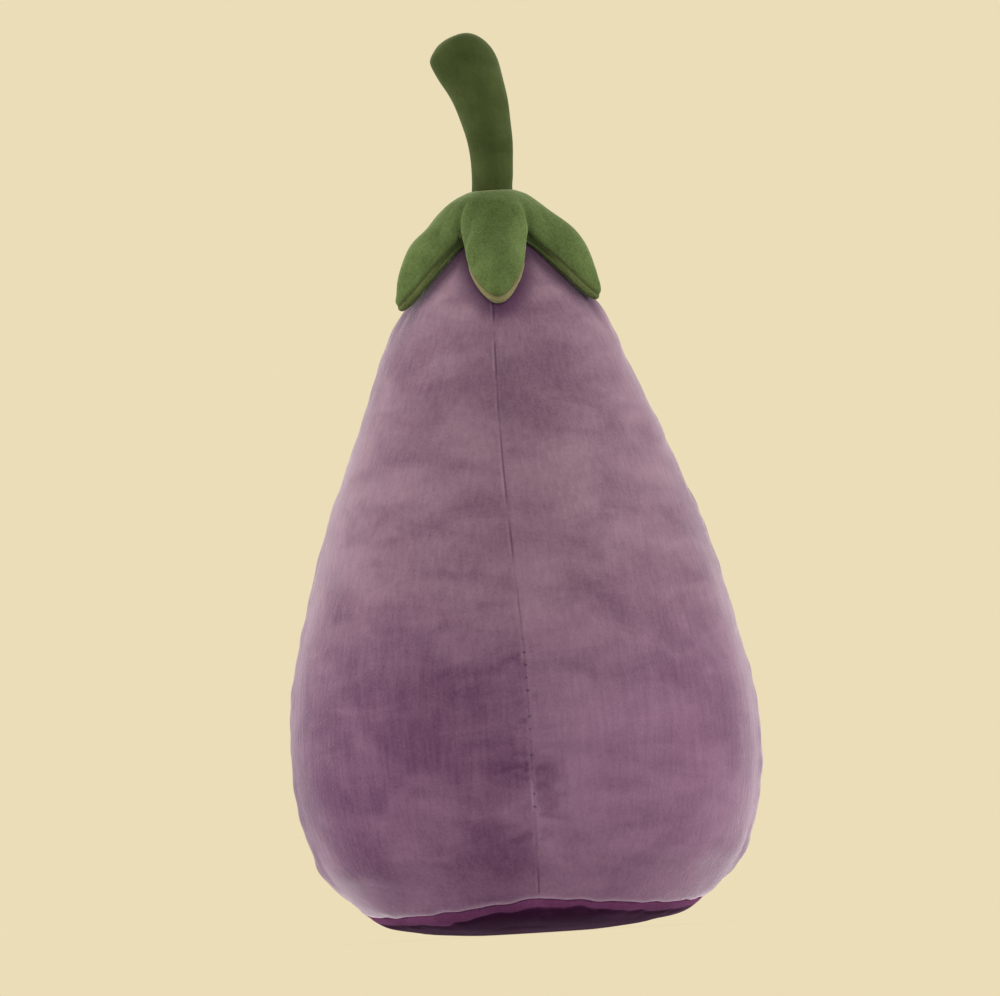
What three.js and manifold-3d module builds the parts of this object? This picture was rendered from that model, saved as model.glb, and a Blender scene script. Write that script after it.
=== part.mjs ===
// A stuffed eggplant cushion that stands on its own flat foot.
// The lilac skin is sewn from four upright gores and a round plum base panel around a fibre filling.
// A padded green calyx with five sepals sits on top, and a padded stem leans to one side out of its crown.
// Units are millimetres, +Z is up, and the origin is the middle of the foot on the floor.
import * as THREE from "three";
import { mergeVertices } from "three/addons/utils/BufferGeometryUtils.js";
import Module from "manifold-3d";

const wasm = await Module();
wasm.setup();

// ---- Driving dimensions ----------------------------------------------------------------------
const GAP = 0.3; // between any two pieces that touch
const CLOTH = 2.4; // pile fabric, backing and pile together
const ALLOWANCE = 7; // how far the sewn edges of the gores stand into the filling

const BODY_RADIUS = 118.5; // at the fullest height, midway between two seams
const SKIN_HEIGHT = 346.5; // from the hem to the closed top
const HEM_RADIUS = 83; // where the gores are sewn to the base panel
const HEM_HEIGHT = 11.5; // mean height of that seam
const HEM_SCALLOP = 4.5; // how much higher the hem is at the gore seams than between them
const FOOT_RADIUS = 46; // the flat that the cushion stands on
const SEAM_DIP = 2.6; // how far a seam pulls the skin in
const SEAM_PULL_WIDTH = 9; // how far to each side that pull reaches

const SEPAL_LENGTH = 75; // along its curve, from the axis to the tip
const SEPAL_WIDTH = 33;
const NOTCH_LENGTH = 33; // along the same curve, from the axis to the notch between two sepals
const PAD_OVER = 9.8; // padding above the edge seam of the calyx, fabric included
const PAD_UNDER = 5.5; // padding below it
const TIP_TUCK = 0.5; // share of that depth by which the tips are drawn in to the skin
const CALYX_REST = 0.6; // room between the calyx and the skin under it

const STEM_LENGTH = 82; // along its curve, its root in the crown included
const STEM_ROOT = 4; // how much of that stands in the crown
const STEM_RADIUS = 10.3; // at the root
const STEM_HEAD_RADIUS = 16.2;
const STEM_HEAD_HEIGHT = 12.3; // how far its round end stands above its fullest place
const STEM_LEAN = 14; // how far the middle of the head stands to one side of the root

const THREAD = 1; // hand-sewing thread, waxed and doubled
const CLOSING_BOTTOM = 62; // the ends of the hand-sewn stretch in the front seam
const CLOSING_TOP = 146;
const CLOSING_STITCH = 6;
const CLOSING_BITE = 1.4; // how far each stitch reaches to the side of the seam

const SEAMS = 4; // upright seams
const SEPALS = 5; // one of them at the front
const AROUND = 40; // facets around the body
const STAR_AROUND = 40; // facets around the calyx
const STEM_AROUND = 14; // facets around the stem

// ---- Shared helpers --------------------------------------------------------------------------
const SKIN_TOP = HEM_HEIGHT + SKIN_HEIGHT;
const FAR = 4 * (BODY_RADIUS + SKIN_TOP); // reaches past every piece

/** A closed geometry as a manifold-3d solid. */
function solid(geometry) {
  const bare = new THREE.BufferGeometry().setAttribute("position", geometry.getAttribute("position"));
  bare.setIndex(geometry.getIndex());
  const merged = mergeVertices(bare, 1e-3);
  return new wasm.Manifold(
    new wasm.Mesh({
      numProp: 3,
      vertProperties: merged.attributes.position.array,
      triVerts: new Uint32Array(merged.index.array),
    }),
  );
}

/** A manifold-3d solid as a named mesh with its own material. */
function meshOf(name, body, look) {
  const made = body.getMesh();
  const geometry = new THREE.BufferGeometry()
    .setAttribute("position", new THREE.BufferAttribute(made.vertProperties, 3))
    .setIndex(new THREE.BufferAttribute(made.triVerts, 1));
  geometry.computeVertexNormals();
  const mesh = new THREE.Mesh(geometry, new THREE.MeshStandardMaterial({ metalness: 0, ...look }));
  mesh.name = name;
  return mesh;
}

/** A box between two corners, as a solid. */
function block(low, high) {
  const size = new THREE.Vector3().subVectors(high, low);
  const middle = new THREE.Vector3().addVectors(low, high).multiplyScalar(0.5);
  return solid(new THREE.BoxGeometry(size.x, size.y, size.z).translate(middle.x, middle.y, middle.z));
}

/** An outline with each point moved to its left by its own distance, and its ends kept on the axis. */
function moved(outline, distanceAt) {
  return outline.map((point, i) => {
    const before = outline[Math.max(i - 1, 0)];
    const after = outline[Math.min(i + 1, outline.length - 1)];
    const along = new THREE.Vector2().subVectors(after, before).normalize();
    const distance = distanceAt(point);
    if (point.x < 1e-6) return new THREE.Vector2(0, point.y + distance / along.x);
    return new THREE.Vector2(Math.max(point.x - along.y * distance, 0), point.y + along.x * distance);
  });
}

/** An outline moved inwards by one distance all the way. */
function inset(outline, distance) {
  return moved(outline, () => distance);
}

/** A profile of (radius, height) points turned about the Z axis, as a geometry. */
function turned(profile, segments) {
  return new THREE.LatheGeometry(profile, segments).rotateX(Math.PI / 2);
}

/** Moves every vertex of a geometry through a function of its place. */
function mapped(geometry, place) {
  const position = geometry.getAttribute("position");
  const point = new THREE.Vector3();
  for (let i = 0; i < position.count; i++) {
    place(point.fromBufferAttribute(position, i));
    position.setXYZ(i, point.x, point.y, point.z);
  }
  return geometry;
}

/** How far an azimuth is from the nearest seam, in radians. */
function fromSeam(azimuth) {
  const pitch = (2 * Math.PI) / SEAMS;
  const turn = THREE.MathUtils.euclideanModulo(azimuth, pitch);
  return Math.min(turn, pitch - turn);
}

// ---- Body: skin, base and filling ------------------------------------------------------------
/** The outside of the whole skin, from the middle of the foot up to the closed top. */
function skinOutline() {
  const spread = THREE.MathUtils.degToRad(55); // of the ellipse between the foot and the hem
  const across = (HEM_RADIUS - FOOT_RADIUS) / Math.sin(spread);
  const up = HEM_HEIGHT / (1 - Math.cos(spread));
  const base = [new THREE.Vector2(0, 0)];
  const baseSteps = 4;
  const bodySteps = 20;
  for (let i = 0; i <= baseSteps; i++) {
    const t = (spread * i) / baseSteps;
    base.push(new THREE.Vector2(FOOT_RADIUS + across * Math.sin(t), up * (1 - Math.cos(t))));
  }
  // Shares of the full radius and of the height from the hem to the top.
  const shape = [
    [0.88, 0.058],
    [0.942, 0.106],
    [0.988, 0.174],
    [1, 0.24],
    [0.984, 0.315],
    [0.928, 0.408],
    [0.812, 0.546],
    [0.655, 0.684],
    [0.485, 0.824],
    [0.432, 0.862],
    [0.366, 0.893],
    [0.298, 0.921],
    [0.234, 0.945],
    [0.168, 0.967],
    [0.094, 0.987],
    [0, 1],
  ];
  const above = shape.map(([r, h]) => new THREE.Vector2(r * BODY_RADIUS, HEM_HEIGHT + h * SKIN_HEIGHT));
  const body = new THREE.SplineCurve([base[base.length - 1], ...above]).getPoints(bodySteps).slice(1);
  body[body.length - 1].x = 0;
  return [...base, ...body];
}

/** Crowds a turned shape's facets towards the seams and pulls the skin in along them. */
function quilted(geometry) {
  const crowding = 0.75; // 0 spreads the facets evenly, and 1 would close them up on the seams
  return mapped(geometry, (point) => {
    const radius = Math.hypot(point.x, point.y);
    if (radius < 1e-6) return;
    const even = Math.atan2(point.y, point.x);
    const azimuth = even - (crowding / SEAMS) * Math.sin(SEAMS * even);
    const offSeam = (fromSeam(azimuth) * radius) / SEAM_PULL_WIDTH;
    // The pull starts at the hem and dies out towards the point where all the seams meet.
    const rising = THREE.MathUtils.smoothstep(point.z, HEM_HEIGHT / 2, 2 * HEM_HEIGHT);
    const fading = THREE.MathUtils.smoothstep(radius, SEAM_PULL_WIDTH, 4 * SEAM_PULL_WIDTH);
    const pulled = radius - SEAM_DIP * rising * fading * Math.exp(-offSeam * offSeam);
    point.x = pulled * Math.cos(azimuth);
    point.y = pulled * Math.sin(azimuth);
  });
}

/** Two crossing plates on the seam planes, of one thickness. */
function seamPlates(thickness) {
  const half = thickness / 2;
  const across = block(new THREE.Vector3(-FAR, -half, -FAR), new THREE.Vector3(FAR, half, FAR));
  const along = block(new THREE.Vector3(-half, -FAR, -FAR), new THREE.Vector3(half, FAR, FAR));
  return across.add(along);
}

/** The solid inside the skin's outline, a distance in from its outside. */
function coreOf(outline, distance) {
  return solid(quilted(turned(inset(outline, distance), AROUND)));
}

/** Everything above the scalloped hem raised by a distance. */
function aboveHem(distance) {
  const flat = HEM_RADIUS / 2; // inside this radius the cut needs no scallops
  const corners = [
    [0, 0],
    [flat, 0],
    [FAR, 0],
    [FAR, FAR],
    [0, FAR],
  ];
  const profile = corners.map(([r, z]) => new THREE.Vector2(r, z));
  const cutter = mapped(turned(profile, AROUND), (point) => {
    const lobe = Math.abs(Math.sin((SEAMS / 2) * Math.atan2(point.y, point.x)));
    const onHem = point.z < 1 && Math.hypot(point.x, point.y) > flat / 2;
    point.z += HEM_HEIGHT + distance + (onHem ? HEM_SCALLOP * (0.5 - lobe) : 0);
  });
  return solid(cutter);
}

const outline = skinOutline();
const whole = coreOf(outline, 0);
const lining = coreOf(outline, CLOTH);
const insideAllowance = coreOf(outline, CLOTH + ALLOWANCE);

/** The four gores, each with its two sewn edges turned in. */
function gores() {
  const turnedIn = whole.subtract(insideAllowance).intersect(seamPlates(2 * CLOTH + GAP));
  const cover = whole.subtract(lining).add(turnedIn).intersect(aboveHem(GAP / 2));
  const corners = {
    body_gore_front_left: [-1, -1],
    body_gore_front_right: [1, -1],
    body_gore_back_right: [1, 1],
    body_gore_back_left: [-1, 1],
  };
  return Object.entries(corners).map(([name, [x, y]]) => {
    const quarter = block(
      new THREE.Vector3(x > 0 ? GAP / 2 : -FAR, y > 0 ? GAP / 2 : -FAR, -FAR),
      new THREE.Vector3(x > 0 ? FAR : -GAP / 2, y > 0 ? FAR : -GAP / 2, FAR),
    );
    return meshOf(name, cover.intersect(quarter), { color: 0x8d6c7d, roughness: 0.95 });
  });
}

/** The plum panel under the hem, flat in the middle. */
function basePanel() {
  return meshOf("base_panel", whole.subtract(lining).subtract(aboveHem(-GAP / 2)), {
    color: 0x45203b,
    roughness: 0.95,
  });
}

/** The fibre filling, grooved where the sewn edges stand into it. */
function bodyFilling() {
  const grooves = seamPlates(2 * CLOTH + 3 * GAP);
  const full = coreOf(outline, CLOTH + GAP).subtract(grooves);
  const core = coreOf(outline, CLOTH + ALLOWANCE + GAP);
  return meshOf("body_filling", full.add(core), { color: 0xf1efe9, roughness: 1 });
}

/** The radius of the skin at a height above the hem, at a seam. */
function seamRadiusAt(height) {
  const next = outline.findIndex((point) => point.y > height);
  const [low, high] = [outline[next - 1], outline[next]];
  return THREE.MathUtils.mapLinear(height, low.y, high.y, low.x, high.x) - SEAM_DIP;
}

/** The thread of the hand-sewn stretch that closes the front seam after stuffing. */
function closingThread() {
  const stepsPerStitch = 4;
  const count = Math.round((CLOSING_TOP - CLOSING_BOTTOM) / CLOSING_STITCH);
  const steps = count * stepsPerStitch;
  const points = [];
  for (let i = 0; i <= steps; i++) {
    const height = CLOSING_BOTTOM + (i / stepsPerStitch) * CLOSING_STITCH;
    const aside = CLOSING_BITE * Math.sin((Math.PI * i) / stepsPerStitch);
    const out = seamRadiusAt(height) + 2 * GAP + THREAD / 2;
    points.push(new THREE.Vector3(aside, -out, height));
  }
  const section = new THREE.Shape().absarc(0, 0, THREAD / 2, 0, 2 * Math.PI);
  const thread = new THREE.ExtrudeGeometry(section, {
    curveSegments: 3,
    steps: 1.5 * steps,
    extrudePath: new THREE.CatmullRomCurve3(points),
  });
  return meshOf("closing_thread", solid(thread), { color: 0x4b2c42, roughness: 0.8 });
}

// ---- Stem ------------------------------------------------------------------------------------
const STEM_BASE = SKIN_TOP + CALYX_REST + PAD_UNDER + PAD_OVER - STEM_ROOT;

/** The stem's middle line, upright at the root and leaning to -X at the head. */
function stemLine() {
  const rise = 0.985 * STEM_LENGTH; // the rest of its length goes into the lean
  const shape = [
    [0, 0],
    [0.04, 0.23],
    [-0.03, 0.44],
    [-0.3, 0.67],
    [-0.8, 0.89],
    [-1.08, 1],
  ];
  return new THREE.CatmullRomCurve3(
    shape.map(([x, z]) => new THREE.Vector3(x * STEM_LEAN, 0, STEM_BASE + z * rise)),
  );
}

/** The stem's half-profile while it is straight, from its open root to its round end. */
function stemOutline(distance) {
  const swell = STEM_HEAD_RADIUS - STEM_RADIUS;
  const neck = STEM_LENGTH - STEM_HEAD_HEIGHT;
  const shape = [
    [0, 0],
    [0, 0.2],
    [0.24, 0.42],
    [0.56, 0.68],
    [0.92, 0.9],
  ];
  const side = shape.map(([r, h]) => new THREE.Vector2(STEM_RADIUS + r * swell, h * neck));
  const end = [];
  const endSteps = 6;
  for (let i = 0; i <= endSteps; i++) {
    const t = (Math.PI / 2) * (i / endSteps);
    end.push(new THREE.Vector2(STEM_HEAD_RADIUS * Math.cos(t), neck + STEM_HEAD_HEIGHT * Math.sin(t)));
  }
  end[endSteps].x = 0;
  const smooth = new THREE.SplineCurve([...side, end[0]]).getSpacedPoints(8).slice(0, -1);
  return inset([...smooth, ...end], distance);
}

/** Bends an upright geometry along the stem's middle line, with its root level in the crown. */
function bentAlongStem(geometry) {
  const line = stemLine();
  const point = new THREE.Vector3();
  return mapped(geometry, (vertex) => {
    const share = THREE.MathUtils.clamp(vertex.z / STEM_LENGTH, 0, 1);
    const tangent = line.getTangentAt(share);
    const tilt = tangent.x * THREE.MathUtils.smoothstep(vertex.z, 0, 2 * STEM_ROOT);
    const side = new THREE.Vector3(tangent.z, 0, -tilt).normalize();
    point.copy(line.getPointAt(share)).addScaledVector(side, vertex.x);
    vertex.set(point.x, vertex.y, point.z);
  });
}

/** The solid inside the stem's skin, a distance in from its outside. */
function stemCore(distance) {
  const sides = stemOutline(distance);
  const foot = new THREE.Vector2(0, sides[0].y);
  return solid(bentAlongStem(turned([foot, ...sides], STEM_AROUND)));
}

/** The two shaped panels of the stem, sewn along its sides. */
function stemPanels() {
  const tube = stemCore(0).subtract(stemCore(CLOTH));
  const open = tube.subtract(
    block(new THREE.Vector3(-FAR, -FAR, -FAR), new THREE.Vector3(FAR, FAR, STEM_BASE + GAP)),
  );
  const look = { color: 0x4a5a30, roughness: 0.95 };
  const front = block(new THREE.Vector3(-FAR, -FAR, -FAR), new THREE.Vector3(FAR, -GAP / 2, FAR));
  const back = block(new THREE.Vector3(-FAR, GAP / 2, -FAR), new THREE.Vector3(FAR, FAR, FAR));
  return [
    meshOf("stem_front_panel", open.intersect(front), look),
    meshOf("stem_back_panel", open.intersect(back), look),
  ];
}

/** The fibre that fills the stem. */
function stemFilling() {
  const above = block(new THREE.Vector3(-FAR, -FAR, STEM_BASE + GAP), new THREE.Vector3(FAR, FAR, FAR));
  return meshOf("stem_filling", stemCore(CLOTH + GAP).intersect(above), {
    color: 0xf1efe9,
    roughness: 1,
  });
}

// ---- Calyx -----------------------------------------------------------------------------------
/** The middle surface of the calyx along a sepal, from the axis outwards: it follows the skin under it. */
function sepalLine() {
  const skin = outline.filter((point) => point.y > SKIN_TOP - 2 * SEPAL_LENGTH);
  const lifted = moved(skin, (point) => {
    const drop = (SKIN_TOP - point.y) / SEPAL_LENGTH;
    const tuck = TIP_TUCK * THREE.MathUtils.smoothstep(drop, 0.3, 0.6);
    return -(CALYX_REST + PAD_UNDER * (1 - tuck));
  });
  return new THREE.SplineCurve(lifted.reverse());
}

/** Half the flat outline of a sepal, from its tip to the notch: the way along it, and the way aside. */
function halfSepal() {
  const between = Math.PI / SEPALS;
  const notch = new THREE.Vector2(Math.cos(between), Math.sin(between)).multiplyScalar(NOTCH_LENGTH);
  const shape = [
    [1, 0],
    [0.975, 0.25],
    [0.89, 0.55],
    [0.74, 0.85],
    [0.53, 1],
  ];
  const side = shape.map(([s, w]) => new THREE.Vector2(s * SEPAL_LENGTH, (w * SEPAL_WIDTH) / 2));
  const curve = new THREE.SplineCurve([...side, notch]);
  return curve.getSpacedPoints(STAR_AROUND / (2 * SEPALS));
}

/** The middle surface's point at a share of the way to the star's edge, and its outward normal. */
function starPoint(azimuth, share, line, half) {
  const perSepal = STAR_AROUND / SEPALS;
  const front = -Math.PI / 2;
  const step = Math.round(((azimuth - front) / (2 * Math.PI)) * STAR_AROUND);
  const sepal = Math.round(step / perSepal);
  const edge = half[Math.abs(step - sepal * perSepal)];
  const off = Math.sign(step - sepal * perSepal) * Math.atan2(edge.y, edge.x);
  const reach = share * edge.length();
  const total = line.getLength();
  const at = (length) => {
    const t = THREE.MathUtils.clamp(length / total, 0, 1);
    const along = line.getTangentAt(t);
    return { place: line.getPointAt(t), out: new THREE.Vector2(-along.y, along.x) };
  };
  // Near the axis the calyx is a dome, and further out each sepal is a strap that lies around the skin.
  const swung = ({ x, y }, angle) => new THREE.Vector3(x * Math.cos(angle), x * Math.sin(angle), y);
  const dome = at(reach);
  const strip = at(reach * Math.cos(off));
  const turn = strip.place.x > 1e-6 ? (reach * Math.sin(off)) / strip.place.x : 0;
  const strap = THREE.MathUtils.smoothstep(reach, 0.75 * NOTCH_LENGTH, 1.5 * NOTCH_LENGTH);
  const up = new THREE.Vector3(0, 0, 1);
  const middle = front + (sepal * 2 * Math.PI) / SEPALS;
  const place = swung(dome.place, off).lerp(swung(strip.place, turn), strap);
  const out = swung(dome.out, off).lerp(swung(strip.out, turn), strap).normalize();
  return { place: place.applyAxisAngle(up, middle), out: out.applyAxisAngle(up, middle) };
}

/** How full the padding is at a share of the way to the edge: 1 in the middle and 0 at the edge. */
function fullness(share) {
  return Math.sqrt(1 - share ** 3);
}

// Rings of the calyx, as shares of the way to the star's edge. The filling stops before its seam.
const STAR_SHARES = [0, 0.16, 0.3, 0.42, 0.53, 0.63, 0.72, 0.81, 0.89, 0.95, 0.985];
const FILLING_SHARES = STAR_SHARES.slice(0, -3);

/** A star-shaped solid between two heights off the middle surface, each given by the share of the way out. */
function starSolid(shares, over, under) {
  const upper = shares.map((share) => new THREE.Vector2(share, over(share)));
  const lower = shares.map((share) => new THREE.Vector2(share, under(share)));
  const line = sepalLine();
  const half = halfSepal();
  return solid(
    mapped(turned([...lower, ...upper.reverse()], STAR_AROUND), (point) => {
      const share = Math.hypot(point.x, point.y);
      const height = point.z;
      const { place, out } = starPoint(Math.atan2(point.y, point.x), share, line, half);
      point.copy(place).addScaledVector(out, height);
    }),
  );
}

/** The padded calyx: two star-shaped panels sewn round their edge, and the filling between them. */
function calyx() {
  const half = GAP / 2;
  const thinnest = half + CLOTH / 2; // where the two panels close on each other at the seam
  const over = (share) => Math.max(PAD_OVER * fullness(share), thinnest);
  const under = (share) => -Math.max(PAD_UNDER * fullness(share), thinnest);
  const top = starSolid(STAR_SHARES, over, (share) => Math.max(over(share) - CLOTH, half));
  const bottom = starSolid(STAR_SHARES, (share) => Math.min(under(share) + CLOTH, -half), under);
  const inside = CLOTH + 2 * GAP;
  const filling = starSolid(
    FILLING_SHARES,
    (share) => over(share) - inside,
    (share) => under(share) + inside,
  );
  const socket = stemCore(-GAP);
  const cloth = { color: 0x56663a, roughness: 0.95 };
  return [
    meshOf("calyx_top_panel", top.subtract(socket), cloth),
    meshOf("calyx_under_panel", bottom, cloth),
    meshOf("calyx_filling", filling.subtract(socket), { color: 0xf1efe9, roughness: 1 }),
  ];
}

// ---- Assembly --------------------------------------------------------------------------------
const eggplant = new THREE.Group();
eggplant.name = "stuffed_eggplant";
eggplant.add(...gores(), basePanel(), bodyFilling(), closingThread());
eggplant.add(...calyx());
eggplant.add(...stemPanels(), stemFilling());

export default eggplant;
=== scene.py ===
"""The looks of a stuffed eggplant cushion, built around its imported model.

A lilac skin of four gores closes over a plum base panel. A padded green calyx lies on its top, and a padded
stem leans out of the crown. Everything is in metres, +Z is up, and the middle of the foot is the origin.
"""

import logging
import math
from dataclasses import dataclass, field
from enum import Enum
from typing import Any, Optional, Sequence, Union

import bpy
import numpy as np
from mathutils import Matrix, Vector
from mathutils.kdtree import KDTree


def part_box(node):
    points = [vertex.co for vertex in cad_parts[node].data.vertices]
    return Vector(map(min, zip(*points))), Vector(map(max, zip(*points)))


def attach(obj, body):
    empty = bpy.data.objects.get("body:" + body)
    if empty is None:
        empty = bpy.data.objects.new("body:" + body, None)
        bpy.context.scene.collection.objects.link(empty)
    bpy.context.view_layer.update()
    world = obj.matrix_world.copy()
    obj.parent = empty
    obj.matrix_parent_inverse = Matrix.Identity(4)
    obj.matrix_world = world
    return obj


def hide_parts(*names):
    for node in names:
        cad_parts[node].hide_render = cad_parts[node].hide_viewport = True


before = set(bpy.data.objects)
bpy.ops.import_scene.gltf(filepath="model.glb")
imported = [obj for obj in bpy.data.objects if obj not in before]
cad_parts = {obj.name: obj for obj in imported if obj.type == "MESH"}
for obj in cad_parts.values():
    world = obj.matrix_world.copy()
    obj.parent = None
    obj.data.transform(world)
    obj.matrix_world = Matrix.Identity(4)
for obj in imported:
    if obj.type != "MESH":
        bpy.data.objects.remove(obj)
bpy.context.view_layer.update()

log = logging.getLogger("eggplant")

MM = 0.001
BODY = "root"
FRONT = -math.pi / 2
SEAMS = 4
PITCH = 2 * math.pi / SEAMS  # the turn from one upright seam to the next
SEPALS = 5
Number = Union[float, np.ndarray]
Colour = tuple[float, float, float]


class Slot(Enum):
    """The record's material slots."""

    LILAC = "lilac_plush"
    PLUM = "plum_plush"
    GREEN = "green_plush"
    THREAD = "sewing_thread"


# ---- Shared maths -----------------------------------------------------------------------------
def smoothstep(value: Number, low: float, high: float) -> Number:
    """A smooth rise from 0 at low to 1 at high.

    Args:
        value: Where to read the rise.
        low: Where it starts.
        high: Where it ends. It may lie below low, and the rise then runs backwards.

    Returns:
        The share risen, from 0 to 1.
    """
    share = np.clip((value - low) / (high - low), 0, 1)
    return share * share * (3 - 2 * share)


def bell(value: Number, width: float) -> Number:
    """A rounded peak of 1 at 0 that has nearly gone at twice its width."""
    return np.exp(-((value / width) ** 2))


def spline(points: Sequence[Sequence[float]], steps: int = 24) -> np.ndarray:
    """A smooth line through a few points.

    Args:
        points: The points, in any number of dimensions.
        steps: How many pieces each stretch between two points gets.

    Returns:
        The points of the fine line, one row each.
    """
    given = np.array(points, float)
    ends = np.vstack([given[:1], given, given[-1:]])
    share = np.linspace(0, 1, steps, endpoint=False)[:, None]
    rows = []
    for i in range(len(given) - 1):
        a, b, c, d = ends[i : i + 4]
        bend = (2 * a - 5 * b + 4 * c - d) * share**2 + (3 * b - a - 3 * c + d) * share**3
        rows.append(0.5 * (2 * b + (c - a) * share + bend))
    return np.vstack([*rows, given[-1:]])


class Line:
    """A fine line that is read by the way along it."""

    def __init__(self, points: np.ndarray) -> None:
        """Keeps the points and the way to each of them.

        Args:
            points: The line's points, one row each.
        """
        self.points = points
        self.way = np.concatenate([[0.0], np.cumsum(np.linalg.norm(np.diff(points, axis=0), axis=1))])
        self.length = float(self.way[-1])

    def at(self, way: Number) -> np.ndarray:
        """The points at these ways along the line."""
        return np.stack([np.interp(way, self.way, column) for column in self.points.T], -1)

    def along(self, way: Number) -> np.ndarray:
        """The unit directions of the line at these ways along it."""
        reach = self.length / 200
        low = np.clip(np.asarray(way) - reach, 0, self.length)
        high = np.clip(np.asarray(way) + reach, 0, self.length)
        step = self.at(high) - self.at(low)
        return step / np.linalg.norm(step, axis=-1, keepdims=True)


class Unevenness:
    """A smooth random field in space, made of crossing waves, for lumps in a filling."""

    def __init__(self, seed: int, wavelength: float, height: float, waves: int = 28) -> None:
        """Draws the waves.

        Args:
            seed: Fixes the draw.
            wavelength: The mean distance between two lumps.
            height: About how high a lump stands.
            waves: How many waves cross.
        """
        draw = np.random.default_rng(seed)
        turned = draw.normal(size=(waves, 3))
        turned /= np.linalg.norm(turned, axis=1, keepdims=True)
        self.waves = turned * (2 * math.pi / wavelength) * draw.uniform(0.65, 1.4, (waves, 1))
        self.starts = draw.uniform(0, 2 * math.pi, waves)
        self.height = height * math.sqrt(2 / waves)

    def at(self, places: np.ndarray) -> np.ndarray:
        """The field's heights at these places."""
        return self.height * np.cos(places @ self.waves.T + self.starts).sum(axis=1)


# ---- Meshes -----------------------------------------------------------------------------------
def signed_volume(places: np.ndarray, faces: Sequence[Sequence[int]]) -> float:
    """The volume inside a closed surface, below 0 if its faces point inwards.

    Args:
        places: The vertices, one row each.
        faces: The vertex numbers of each face.

    Returns:
        The volume in cubic metres.
    """
    fans = [(f[0], f[i], f[i + 1]) for f in faces for i in range(1, len(f) - 1)]
    a, b, c = (places[np.array(fans)[:, k]] for k in range(3))
    return float(np.einsum("ij,ij->i", a, np.cross(b, c)).sum() / 6)


def closed_loft(
    name: str, rings: np.ndarray, start: Sequence[float], end: Sequence[float]
) -> bpy.types.Object:
    """A closed mesh through rings of points, with a pole at each end.

    Args:
        name: The object's name.
        rings: The points, by ring, then around each ring, then x, y and z.
        start: The pole before the first ring.
        end: The pole after the last ring.

    Returns:
        The new object, with its faces pointing outwards.
    """
    count, around = rings.shape[:2]
    places = np.vstack([rings.reshape(-1, 3), [start], [end]])
    faces = []
    for j in range(around):
        k = (j + 1) % around
        faces.append((count * around, k, j))
        faces.append((count * around + 1, (count - 1) * around + j, (count - 1) * around + k))
        for i in range(count - 1):
            row = i * around
            faces.append((row + j, row + k, row + around + k, row + around + j))
    if signed_volume(places, faces) < 0:
        faces = [face[::-1] for face in faces]
    mesh = bpy.data.meshes.new(name)
    mesh.from_pydata(places.tolist(), [], faces)
    mesh.update()
    made = bpy.data.objects.new(name, mesh)
    bpy.context.scene.collection.objects.link(made)
    return made


def read_places(mesh: bpy.types.Mesh, what: str = "co") -> np.ndarray:
    """The places, or the normals, of a mesh's vertices."""
    values = np.zeros(len(mesh.vertices) * 3)
    mesh.vertices.foreach_get(what, values)
    return values.reshape(-1, 3)


def write_places(mesh: bpy.types.Mesh, places: np.ndarray) -> None:
    """Moves a mesh's vertices to these places."""
    mesh.vertices.foreach_set("co", places.astype(np.float32).ravel())
    mesh.update()


def write_values(mesh: bpy.types.Mesh, name: str, values: np.ndarray) -> None:
    """Stores one number for each vertex under a name."""
    stored = mesh.attributes.get(name) or mesh.attributes.new(name, "FLOAT", "POINT")
    stored.data.foreach_set("value", values.astype(np.float32))


def read_values(mesh: bpy.types.Mesh, name: str) -> np.ndarray:
    """The numbers that are stored for the vertices under a name."""
    values = np.zeros(len(mesh.vertices))
    mesh.attributes[name].data.foreach_get("value", values)
    return values


def settle(piece: bpy.types.Object) -> None:
    """Turns an object into the plain mesh that its modifiers make of it, and removes them.

    Args:
        piece: The object.
    """
    graph = bpy.context.evaluated_depsgraph_get()
    mesh = bpy.data.meshes.new_from_object(piece.evaluated_get(graph), depsgraph=graph)
    piece.modifiers.clear()
    mesh.name = piece.name
    piece.data = mesh


def refine(piece: bpy.types.Object) -> None:
    """Subdivides a piece once and shades it smooth."""
    finer = piece.modifiers.new("finer", "SUBSURF")
    finer.levels = finer.render_levels = 1
    finer.use_limit_surface = False
    settle(piece)
    piece.data.shade_smooth()


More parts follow.
